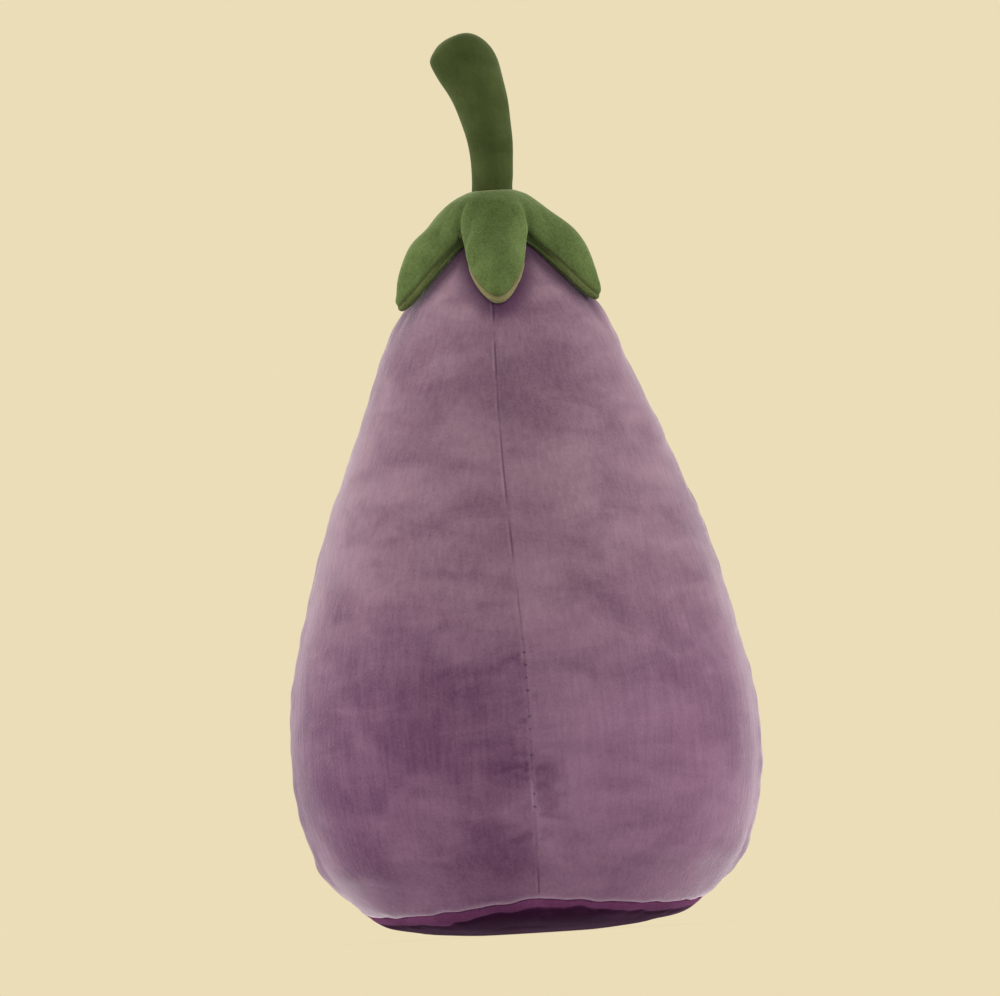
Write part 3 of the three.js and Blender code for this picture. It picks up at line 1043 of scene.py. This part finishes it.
@dataclass
class Base:
    """The plum panel under the hem: flat where it stands, and rolled up all round."""

    skin: Skin
    per_half: int = 18
    crease: float = 0.9 * MM
    fill: float = 0.85

    def build(self, material: bpy.types.Material) -> bpy.types.Object:
        """Makes the base.

        Args:
            material: The plum pile.

        Returns:
            The base.
        """
        skin = self.skin
        columns = skin.columns(self.per_half, 0.35)
        hem = skin.hem_way(columns)
        foot = skin.foot_radius
        flat_rings = (0.2, 0.4, 0.6, 0.8, 0.92)
        rings = [skin.place(np.full(len(columns), foot * part), columns) for part in flat_rings]
        for part in np.linspace(0, 1, 26):
            way = foot + (hem - 1.3 * MM - foot) * part
            sunk = 0.7 * MM * smoothstep(part, 0.8, 1.0)
            rings.append(skin.place(way, columns, sunk))
        for along, depth in ((0.7, 1.3), (0.45, 2.2), (0.5, 3.4)):
            rings.append(skin.place(hem - along * MM, columns, depth * MM))
        inner = rings[-1]
        ceiling = skin.hem_height - 5 * MM
        for part in (0.8, 0.5, 0.22):
            ring = inner.copy()
            ring[:, :2] *= part
            ring[:, 2] = ceiling + (ring[:, 2] - ceiling) * part
            rings.append(ring)
        piece = closed_loft("base_plush", np.array(rings), (0, 0, 0), (0, 0, ceiling))
        places = read_places(piece.data)
        low = smoothstep(places[:, 2], 2.0 * MM, 0.6 * MM)
        high = smoothstep(places[:, 2], 5.5 * MM, 7.5 * MM)
        held = np.where(np.maximum(low, high) > 0.4, 1.0, 0.0)
        Stuffing().swell(piece, held, np.full(len(places), 0.8 * MM))
        refine(piece)
        self._detail(piece)
        return finish_piece(piece, material, Slot.PLUM, ["base_panel"], self.fill)

    def _detail(self, piece: bpy.types.Object) -> None:
        """Folds a soft crease under each lobe of the hem, with painted shade below it and a painted
        highlight on the band above it.

        Args:
            piece: The refined panel.
        """
        mesh = piece.data
        places = read_places(mesh)
        normals = read_places(mesh, "normal")
        azimuth, off, radius = self.skin.around(places)
        lobe = np.abs(np.sin(SEAMS / 2 * azimuth))
        wander = Unevenness(21, 45 * MM, 0.4 * MM).at(places)
        level = self.skin.hem_at(azimuth) - 3.6 * MM - 1.2 * MM * lobe + wander
        outer = smoothstep(radius, 52 * MM, 60 * MM) * (normals[:, 2] < 0.2)
        fold = bell(places[:, 2] - level, 0.9 * MM) * smoothstep(lobe, 0.12, 0.5) * outer
        roll = bell(places[:, 2] - level - 2.2 * MM, 1.5 * MM) * smoothstep(lobe, 0.1, 0.5) * outer
        lumps = Unevenness(23, 30 * MM, 0.25 * MM).at(places) * smoothstep(places[:, 2], 1 * MM, 4 * MM)
        moved = places + normals * (0.45 * MM * roll - self.crease * fold + lumps * outer)[:, None]
        moved[:, 2] = np.maximum(moved[:, 2], 0)
        write_places(mesh, moved)
        # Painted shade in the crease and on the underside below it, and a painted highlight on the band
        # above it.
        below = smoothstep(places[:, 2], level + 0.4 * MM, level - 0.6 * MM)
        write_values(mesh, "groove", np.clip(fold * 0.5 + 0.9 * below, 0, 1))
        write_values(mesh, "laid", 0.9 * below - 0.45 * (1 - below))
        write_values(mesh, "edge", np.zeros(len(places)))


@dataclass
class Calyx:
    """The padded green star: two panels sewn round their edge and stuffed, with a socket for the stem."""

    skin: Skin
    length: float = 75 * MM
    width: float = 33 * MM
    notch: float = 33 * MM
    over: float = 9.8 * MM
    under: float = 5.5 * MM
    tuck: float = 0.25
    rest: float = 0.6 * MM
    per_half: int = 28
    slack: float = 0.4 * MM
    room: float = 1.6 * MM
    seam: float = 0.8 * MM
    socket: float = 10.3 * MM
    socket_depth: float = 7.5 * MM
    crown_lift: float = 1.6 * MM
    fat: float = 2.6 * MM
    droop: float = 1.6 * MM
    sunk: float = 1.4 * MM
    fill: float = 0.7

    def _line(self) -> Line:
        """The middle surface's outline along a sepal, from the axis outwards over the skin."""
        skin = self.skin
        way = np.linspace(skin.line.length, skin.line.length - 2 * self.length, 260)
        flat = skin.line.at(way)
        along = skin.line.along(way)
        drop = (skin.top - flat[:, 1]) / self.length
        lift = self.rest + self.under * (1 - self.tuck * smoothstep(drop, 0.3, 0.6))
        raised = np.stack([flat[:, 0] + along[:, 1] * lift, flat[:, 1] - along[:, 0] * lift], 1)
        raised = raised[raised[:, 0] > 1.5 * MM]
        peak = raised[0, 1] + 0.35 * raised[0, 0]
        return Line(np.vstack([[0, peak], raised]))

    def _half(self) -> np.ndarray:
        """Half a sepal's flat outline from its tip to the notch, evenly spaced."""
        between = math.pi / SEPALS
        notch = (self.notch * math.cos(between), self.notch * math.sin(between))
        shape = [(1, 0), (0.975, 0.25), (0.89, 0.55), (0.74, 0.85), (0.53, 1)]
        side = [(s * self.length, w * self.width / 2) for s, w in shape]
        line = Line(spline([*side, notch]))
        return line.at(np.linspace(0, line.length, self.per_half + 1))

    def _surface(self, reach: np.ndarray, rise: np.ndarray, line: Line, off: np.ndarray) -> np.ndarray:
        """One ring of the star.

        Args:
            reach: How far each of a sepal's columns is from the axis, along the middle surface.
            rise: How high each lies off the middle surface.
            line: The middle surface's outline.
            off: The columns' angles from the sepal's middle.

        Returns:
            The ring's points.
        """
        # Near the axis the calyx is a dome, and further out each sepal is a strap that lies round the skin.
        strip_way = reach * np.cos(off)
        strip = line.at(strip_way)
        turn = reach * np.sin(off) / np.maximum(strip[:, 0], 1e-6)
        strap = smoothstep(reach, 0.75 * self.notch, 1.5 * self.notch)[:, None]
        place = (1 - strap) * self._swung(line.at(reach), off) + strap * self._swung(strip, turn)
        out = (1 - strap) * self._outward(line, reach, off) + strap * self._outward(line, strip_way, turn)
        out /= np.linalg.norm(out, axis=1, keepdims=True)
        one = place + out * rise[:, None]
        rings = []
        for k in range(SEPALS):
            for part, sepal in ((one[: self.per_half], k), (one[self.per_half :], k + 1)):
                turned = np.array(Matrix.Rotation(FRONT + sepal * 2 * math.pi / SEPALS, 3, "Z"))
                rings.append(part @ turned.T)
        return np.vstack(rings)

    @staticmethod
    def _swung(flat: np.ndarray, angle: np.ndarray) -> np.ndarray:
        """Points of the outline's plane swung about the axis."""
        return np.stack([flat[:, 0] * np.cos(angle), flat[:, 0] * np.sin(angle), flat[:, 1]], 1)

    def _outward(self, line: Line, way: np.ndarray, angle: np.ndarray) -> np.ndarray:
        """The outward directions at these ways, upright at the axis and swung about it."""
        along = line.along(way)
        level = smoothstep(way, 7 * MM, 26 * MM)
        return self._swung(np.stack([-along[:, 1] * level, along[:, 0]], 1), angle)

    def _layers(self, edge: np.ndarray) -> list[tuple[np.ndarray, np.ndarray, float]]:
        """The rings of the pad, up over its crown, over its edge and back under it.

        Args:
            edge: How far the star's edge is from the axis at each of a sepal's columns.

        Returns:
            For each ring the reach, the rise off the middle surface and the side, 1 above and -1 below.
        """
        # The inner rings lie close together over the socket's rim.
        inner = np.array([2, 5, 7.5, 9, 10, 10.8, 11.5, 12.2, 13, 14.2, 16, 18.5, 21]) * MM
        outer = 1 - (1 - np.linspace(0, 1, 26)[1:]) ** 1.9
        reaches = [np.full(len(edge), r) for r in inner]
        reaches += [inner[-1] + (edge - inner[-1]) * share for share in outer]
        layers = []
        # The pad keeps its height up to the notches, and thins out more slowly along the sepals.
        full = 3.4 + 6 * smoothstep(edge, 1.5 * self.notch, self.notch)
        for reach in reaches:
            share = reach / edge
            pad = (self.over - self.slack) * np.sqrt(np.maximum(1 - share**full, 0))
            pad += self.fat * bell(reach - 50 * MM, 20 * MM) * (1 - share**4)
            crown = self.crown_lift * smoothstep(reach, 36 * MM, 12 * MM)
            dip = self.socket_depth * smoothstep(reach, self.socket + 0.6 * MM, self.socket - 1.6 * MM)
            droop = self.droop * smoothstep(share, 0.55, 1.0)
            layers.append((reach, pad + crown - dip - droop, 1.0))
        for reach in reaches[-2::-1]:
            share = reach / edge
            pad = (self.under + self.sunk) * np.sqrt(np.maximum(1 - share**6, 0))
            droop = self.droop * smoothstep(share, 0.55, 1.0)
            layers.append((reach, -pad - droop * (1 - smoothstep(share, 1.0, 0.8)), -1.0))
        return layers

    def build(self, material: bpy.types.Material) -> bpy.types.Object:
        """Makes the stuffed calyx.

        Args:
            material: The green pile.

        Returns:
            The calyx.
        """
        line, half = self._line(), self._half()
        steps = np.concatenate([np.arange(self.per_half), np.arange(-self.per_half, 0)])
        outline = half[np.abs(steps)]
        off = np.sign(steps) * np.arctan2(outline[:, 1], outline[:, 0])
        edge = np.linalg.norm(outline, axis=1)
        rings, rim = [], []
        for reach, rise, side in self._layers(edge):
            rings.append(self._surface(reach, rise, line, off))
            rim.append(np.tile(side * (1 - reach / edge), SEPALS))
        # Columns run on from one sepal's half into the next sepal's, so their values follow the same order.
        crown = line.at(0.0)[1] + self.over - self.slack - self.socket_depth
        base = line.at(0.0)[1] - self.under
        piece = closed_loft("calyx_plush", np.array(rings), (0, 0, crown), (0, 0, base))
        rim_values = np.append(np.concatenate(rim), [1.0, -1.0])
        write_values(piece.data, "rim", rim_values)
        places = read_places(piece.data)
        radius = np.hypot(places[:, 0], places[:, 1])
        held = (np.abs(rim_values) < 1e-4) | (radius < self.socket + 3 * MM)
        room = np.where(rim_values < 0, 0.4 * MM, self.room)
        Stuffing().swell(piece, held.astype(float), room)
        refine(piece)
        self._detail(piece)
        nodes = ["calyx_top_panel", "calyx_under_panel", "calyx_filling"]
        return finish_piece(piece, material, Slot.GREEN, nodes, self.fill)

    def _detail(self, piece: bpy.types.Object) -> None:
        """Draws the seam in, which lies just inside the edge, and tucks the cloth at the notches, with
        painted shade and highlights.

        Args:
            piece: The refined star.
        """
        mesh = piece.data
        places = read_places(mesh)
        normals = read_places(mesh, "normal")
        rim = read_values(mesh, "rim")
        radius = np.hypot(places[:, 0], places[:, 1])
        azimuth = np.arctan2(places[:, 1], places[:, 0])
        gap = 2 * math.pi / SEPALS
        to_notch = np.abs((azimuth - FRONT) % gap - gap / 2) * radius
        upper = rim > -1e-4
        # Towards the tips a painted highlight marks a pale lip outside the seam, strongest on the front
        # sepal, where the under panel rolls up round the edge.
        rolled = smoothstep(radius, 30 * MM, 46 * MM)
        facing = bell(np.abs(azimuth - FRONT), 0.6)
        seam_at = (0.012 + 0.014 * facing) * rolled
        line = bell(rim - seam_at, 0.012)
        lip = rolled * bell(rim - 0.3 * seam_at, 0.016) * (0.15 + 0.85 * facing)
        tucks = bell(to_notch, 1.4 * MM) * smoothstep(radius, 22 * MM, 29 * MM) * upper
        lumps = Unevenness(31, 24 * MM, 0.35 * MM).at(places) * upper * smoothstep(np.abs(rim), 0.0, 0.1)
        lumps *= smoothstep(radius, 15 * MM, 24 * MM)
        wrinkles = Unevenness(33, 9 * MM, 0.14 * MM).at(places) * bell(rim - 0.06, 0.05)
        move = lumps + wrinkles - self.seam * line - 1.0 * MM * tucks
        write_places(mesh, places + normals * move[:, None])
        # Painted shade on the under panel, less on the front sepal, and in the seam line and the tucks.
        under = (0.75 - 0.3 * facing) * smoothstep(rim, 0.01, -0.03)
        write_values(mesh, "groove", np.clip(0.9 * bell(rim - seam_at, 0.008) + 0.3 * tucks + under, 0, 1))
        # Painted highlight on the crown's rim round the socket.
        crown = bell(radius - self.socket - 1.0 * MM, 1.0 * MM) * (rim > 0.4)
        write_values(mesh, "edge", np.clip(0.8 * lip + 0.5 * crown, 0, 1))


@dataclass
class Stem:
    """The padded stem: two panels sewn up its sides, bent to one side over its round end."""

    root_radius: float = 10.3 * MM
    head_radius: float = 16.2 * MM
    head_height: float = 12.3 * MM
    length: float = 82 * MM
    sunk: float = 2.5 * MM
    lean: float = 14 * MM
    righted: float = 0.55
    righting: tuple[float, float] = (52 * MM, 72 * MM)
    around: int = 64
    rows: int = 62
    fill: float = 0.8

    def _spine(self) -> Line:
        """The stem's middle line, in the plane that it leans in."""
        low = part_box("stem_filling")[0].z
        rise = 0.965 * self.length
        shape = [(0.04, 0.23), (-0.03, 0.44), (-0.3, 0.67), (-0.84, 0.89), (-1.3, 0.985)]
        root = (0.0, low - self.sunk)
        return Line(spline([root, *((x * self.lean, low + z * rise) for x, z in shape)]))

    def _side(self) -> Line:
        """The straight stem's half-profile, from its root to its round end."""
        swell = self.head_radius - self.root_radius
        neck = self.length - self.head_height
        shape = [(0, 0), (0, 0.2), (0.24, 0.42), (0.56, 0.68), (0.92, 0.9)]
        side = [(self.root_radius + r * swell, h * neck) for r, h in shape]
        turn = np.linspace(0, math.pi / 2, 40)
        # The round end is a little fuller than half a ball.
        out = np.maximum(np.cos(turn), 0) ** 0.85
        end = np.stack([self.head_radius * out, neck + self.head_height * np.sin(turn)], 1)
        return Line(np.vstack([spline([*side, tuple(end[0])])[:-1], end]))

    def build(self, material: bpy.types.Material) -> bpy.types.Object:
        """Makes the stuffed stem.

        Args:
            material: The green pile.

        Returns:
            The stem.
        """
        spine, side = self._spine(), self._side()
        angle = np.arange(self.around) / self.around * 2 * math.pi
        rings = []
        foot = spine.at(0.0)
        level = np.full(self.around, foot[1])
        for part in (0.3, 0.65, 0.9):
            flat = self.root_radius * part
            rings.append(np.stack([flat * np.cos(angle), flat * np.sin(angle), level], 1))
        for way in np.linspace(0, side.length, self.rows + 1)[:-1]:
            radius, height = side.at(way)
            share = min(height / self.length, 1.0)
            middle = spine.at(share * spine.length)
            along = spine.along(share * spine.length)
            upright = self.righted * smoothstep(height, *self.righting)
            tilt = along[0] * smoothstep(height, 0, 8 * MM) * (1 - upright)
            across = np.array([along[1], -tilt]) / math.hypot(along[1], tilt)
            out = radius * np.cos(angle)
            side_on, upward = middle[0] + across[0] * out, middle[1] + across[1] * out
            rings.append(np.stack([side_on, radius * np.sin(angle), upward], 1))
        top = spine.at(spine.length)
        piece = closed_loft("stem_plush", np.array(rings), (foot[0], 0, foot[1]), (top[0], 0, top[1]))
        index = np.arange(len(rings) * self.around) % self.around
        off = np.minimum(index % (self.around // 2), (self.around // 2) - index % (self.around // 2))
        write_values(piece.data, "off", np.append(off, [0, 0]).astype(float))
        places = read_places(piece.data)
        on_seam = np.append(off == 0, [True, True])
        held = on_seam | (places[:, 2] < foot[1] + 6 * MM)
        Stuffing().swell(piece, held.astype(float), np.full(len(places), 0.9 * MM))
        refine(piece)
        self._detail(piece, foot[1])
        nodes = ["stem_front_panel", "stem_back_panel", "stem_filling"]
        return finish_piece(piece, material, Slot.GREEN, nodes, self.fill)

    def _detail(self, piece: bpy.types.Object, foot: float) -> None:
        """Draws the side seams in, paints shade in them and leaves the filling slightly lumpy.

        Args:
            piece: The refined stem.
            foot: The height of its root.
        """
        mesh = piece.data
        places = read_places(mesh)
        normals = read_places(mesh, "normal")
        facet = 2 * math.pi / self.around
        off = read_values(mesh, "off") * facet * self.root_radius
        free = smoothstep(places[:, 2] - foot, 4 * MM, 12 * MM)
        seam = bell(off, 0.8 * MM) * free
        lumps = Unevenness(51, 26 * MM, 0.3 * MM).at(places) * free
        write_places(mesh, places + normals * (lumps - 0.5 * MM * seam)[:, None])
        # Painted shade in the side seams.
        write_values(mesh, "groove", np.clip(bell(off, 0.5 * MM) * free * 0.8, 0, 1))
        write_values(mesh, "edge", np.zeros(len(places)))


# ---- Hand stitches ----------------------------------------------------------------------------
@dataclass
class ClosingStitches:
    """The ladder stitches that close the front seam, with only short bars showing in the groove."""

    pitch: float = 6 * MM
    half_width: float = 0.62 * MM
    thread: float = 0.34 * MM
    sag: float = 0.3 * MM
    raised: float = 0.3 * MM
    seed: int = 7

    def _tree(self) -> bpy.types.NodeTree:
        """Builds the Geometry Nodes tree that lays a bar of thread at each step of a path.

        Returns:
            The tree.
        """
        tree = bpy.data.node_groups.new("closing_stitches", "GeometryNodeTree")
        face = tree.interface
        face.new_socket("Path", in_out="INPUT", socket_type="NodeSocketGeometry")
        for name in ("Pitch", "Half width", "Thread", "Sag"):
            face.new_socket(name, in_out="INPUT", socket_type="NodeSocketFloat")
        face.new_socket("Seed", in_out="INPUT", socket_type="NodeSocketInt")
        face.new_socket("Material", in_out="INPUT", socket_type="NodeSocketMaterial")
        face.new_socket("Stitches", in_out="OUTPUT", socket_type="NodeSocketGeometry")
        graph = Graph(tree)
        given = {s.name: s for s in tree.nodes.new("NodeGroupInput").outputs if s.name}
        wanted = {name: Value(graph, socket) for name, socket in given.items()}
        spacing = {"Curve": wanted["Path"], "Length": wanted["Pitch"]}
        steps = graph.node("GeometryNodeResampleCurve", {"mode": "LENGTH"}, spacing)
        left = graph.node("ShaderNodeCombineXYZ", {}, {"X": wanted["Half width"] * -1.0})
        right = graph.node("ShaderNodeCombineXYZ", {}, {"X": wanted["Half width"]})
        middle = graph.node("ShaderNodeCombineXYZ", {}, {"Z": wanted["Sag"]})
        bow = {"Resolution": 6, "Start": left, "Middle": middle, "End": right}
        bar = graph.node("GeometryNodeCurveQuadraticBezier", {}, bow)
        ring = {"Resolution": 8, "Radius": wanted["Thread"]}
        section = graph.node("GeometryNodeCurvePrimitiveCircle", {}, ring)
        thread = graph.node(
            "GeometryNodeCurveToMesh", {}, {"Curve": bar, "Profile Curve": section, "Fill Caps": True}
        )
        level = math.pi / 2
        slant = graph.node(
            "FunctionNodeRandomValue",
            {"data_type": "FLOAT_VECTOR"},
            {0: (level - 0.12, -0.42, -0.1), 1: (level + 0.12, 0.42, 0.1), "Seed": wanted["Seed"]},
        )
        size = graph.node(
            "FunctionNodeRandomValue",
            {"data_type": "FLOAT"},
            {2: 0.4, 3: 1.2, "Seed": wanted["Seed"]},
            1,
        )
        laid = graph.node(
            "GeometryNodeInstanceOnPoints",
            {},
            {"Points": steps, "Instance": thread, "Rotation": slant, "Scale": size},
        )
        real = graph.node("GeometryNodeRealizeInstances", {}, {0: laid})
        smooth = graph.node("GeometryNodeSetShadeSmooth", {}, {0: real})
        cover = {"Geometry": smooth, "Material": wanted["Material"]}
        dressed = graph.node("GeometryNodeSetMaterial", {}, cover)
        graph.node("NodeGroupOutput", {}, {0: dressed})
        return tree

    def build(self, path: Sequence[Sequence[float]], material: bpy.types.Material) -> bpy.types.Object:
        """Lays the stitches.

        Args:
            path: Points along the bottom of the seam's groove.
            material: The thread.

        Returns:
            The stitches as one plain mesh.
        """
        curve = bpy.data.curves.new("seam_line", "CURVE")
        curve.dimensions = "3D"
        route = curve.splines.new("POLY")
        route.points.add(len(path) - 1)
        for point, (x, y, z) in zip(route.points, path):
            point.co = (x, y - self.raised, z, 1.0)
        holder = bpy.data.objects.new("seam_line", curve)
        bpy.context.scene.collection.objects.link(holder)
        tree = self._tree()
        modifier = holder.modifiers.new("stitches", "NODES")
        modifier.node_group = tree
        sizes = {
            "Pitch": self.pitch,
            "Half width": self.half_width,
            "Thread": self.thread,
            "Sag": self.sag,
            "Seed": self.seed,
            "Material": material,
        }
        for socket in tree.interface.items_tree:
            if socket.name in sizes:
                modifier[socket.identifier] = sizes[socket.name]
        bpy.context.view_layer.update()
        graph = bpy.context.evaluated_depsgraph_get()
        mesh = bpy.data.meshes.new_from_object(holder.evaluated_get(graph), depsgraph=graph)
        holder.modifiers.clear()
        bpy.data.objects.remove(holder)
        mesh.name = "closing_stitches"
        piece = bpy.data.objects.new("closing_stitches", mesh)
        bpy.context.scene.collection.objects.link(piece)
        return finish_piece(piece, material, Slot.THREAD, ["closing_thread"])


# ---- Studio -----------------------------------------------------------------------------------
@dataclass(frozen=True)
class SoftBox:
    """One large soft lamp."""

    name: str
    place: tuple[float, float, float]
    size: float
    power: float
    colour: Colour = (1.0, 1.0, 1.0)

    def build(self, aim: Vector) -> None:
        """Makes the lamp and points it at the object."""
        lamp = bpy.data.lights.new(self.name, "AREA")
        lamp.shape = "SQUARE"
        lamp.size = self.size
        lamp.energy = self.power
        lamp.color = self.colour
        holder = bpy.data.objects.new(self.name, lamp)
        holder.location = self.place
        holder.rotation_euler = (aim - Vector(self.place)).to_track_quat("-Z", "Y").to_euler()
        bpy.context.scene.collection.objects.link(holder)


@dataclass
class Studio:
    """A plain pale floor under soft light, and the camera."""

    backdrop: Colour = srgb(235, 221, 184)
    lens: float = 600.0
    distance: float = 8.333
    elevation: float = math.radians(-1.2)
    roll: float = math.radians(3.5)
    aim: tuple[float, float, float] = (-5.3 * MM, 0.0, 218 * MM)
    ambient: float = 0.55
    soft_boxes: tuple[SoftBox, ...] = (
        SoftBox("key", (0.7, -2.4, 1.3), 1.6, 34.0),
        SoftBox("fill", (-1.7, -2.0, 0.5), 1.6, 12.0),
        SoftBox("left_rim", (-1.9, 0.35, 0.35), 1.2, 50.0),
        SoftBox("right_rim", (1.9, 0.35, 0.35), 1.2, 44.0),
    )

    def build(self) -> None:
        """Makes the camera, the lamps, the surroundings and the floor."""
        aim = Vector(self.aim)
        data = bpy.data.cameras.new("camera")
        data.lens = self.lens
        data.sensor_width = 36
        data.clip_start, data.clip_end = 0.05, 60
        camera = bpy.data.objects.new("camera", data)
        back = Vector((0, -math.cos(self.elevation), math.sin(self.elevation)))
        upright = Vector((0, math.sin(self.elevation), math.cos(self.elevation)))
        up = upright * math.cos(self.roll) + Vector((1, 0, 0)) * math.sin(self.roll)
        right = up.cross(back)
        turned = Matrix((right, up, back)).transposed().to_4x4()
        camera.matrix_world = Matrix.Translation(aim + back * self.distance) @ turned
        bpy.context.scene.collection.objects.link(camera)
        bpy.context.scene.camera = camera
        for box in self.soft_boxes:
            box.build(aim)
        bpy.context.scene.view_settings.view_transform = "Standard"
        self._surroundings()
        self._floor()

    def _surroundings(self) -> None:
        """Makes an even light from all round, which looks like the floor's colour."""
        world = bpy.data.worlds.new("studio")
        bpy.context.scene.world = world
        world.use_nodes = True
        graph = Graph(world.node_tree)
        seen = graph.node("ShaderNodeLightPath", output="Is Camera Ray")
        warm = (1.0, 0.985, 0.96)
        light = graph.node("ShaderNodeBackground", {}, {"Color": warm, "Strength": self.ambient})
        paper = graph.node("ShaderNodeBackground", {}, {"Color": self.backdrop, "Strength": 1.0})
        mixed = graph.node("ShaderNodeMixShader", {}, {0: seen, 1: light, 2: paper})
        graph.node("ShaderNodeOutputWorld", {}, {"Surface": mixed})

    def _floor(self) -> None:
        """Makes the pale floor, which takes a faint shadow near the object and none far off."""
        radius, sides = 20.0, 96
        turns = [2 * math.pi * i / sides for i in range(sides)]
        corners = [(radius * math.cos(turn), radius * math.sin(turn), -0.2 * MM) for turn in turns]
        mesh = bpy.data.meshes.new("floor")
        mesh.from_pydata(corners, [], [list(range(sides))])
        floor = bpy.data.objects.new("floor", mesh)
        bpy.context.scene.collection.objects.link(floor)
        made = bpy.data.materials.new("pale_floor")
        made.use_nodes = True
        graph = Graph(made.node_tree)
        place = graph.coordinates()
        away = graph.node("ShaderNodeVectorMath", {"operation": "LENGTH"}, {0: place}, "Value")
        share = graph.ramp(away, 0.08, 0.34, 0.045, 0.0)
        glow = graph.node("ShaderNodeEmission", {}, {"Color": self.backdrop, "Strength": 1.0})
        matt = graph.node("ShaderNodeBsdfDiffuse", {}, {"Color": self.backdrop})
        shown = graph.node("ShaderNodeMixShader", {}, {0: share, 1: glow, 2: matt})
        bounce = graph.node("ShaderNodeEmission", {}, {"Color": (0.95, 0.88, 0.92), "Strength": 0.85})
        seen = graph.node("ShaderNodeLightPath", output="Is Camera Ray")
        mixed = graph.node("ShaderNodeMixShader", {}, {0: seen, 1: bounce, 2: shown})
        graph.node("ShaderNodeOutputMaterial", {}, {"Surface": mixed})
        mesh.materials.append(made)


def main() -> None:
    """Builds every piece in order."""
    logging.basicConfig(level=logging.INFO, format="%(name)s: %(message)s")
    Studio().build()
    lilac, plum, green, stem_green = (look.material() for look in (LILAC, PLUM, GREEN, STEM_GREEN))
    skin = Skin()
    body = Body(skin)
    body_piece = body.build(lilac)
    Base(skin).build(plum)
    body.paint_calyx_shadow(body_piece, Calyx(skin).build(green))
    Stem().build(stem_green)
    ClosingStitches().build(body.seam_path(body_piece), THREAD.material())


if __name__ == "__main__":
    main()
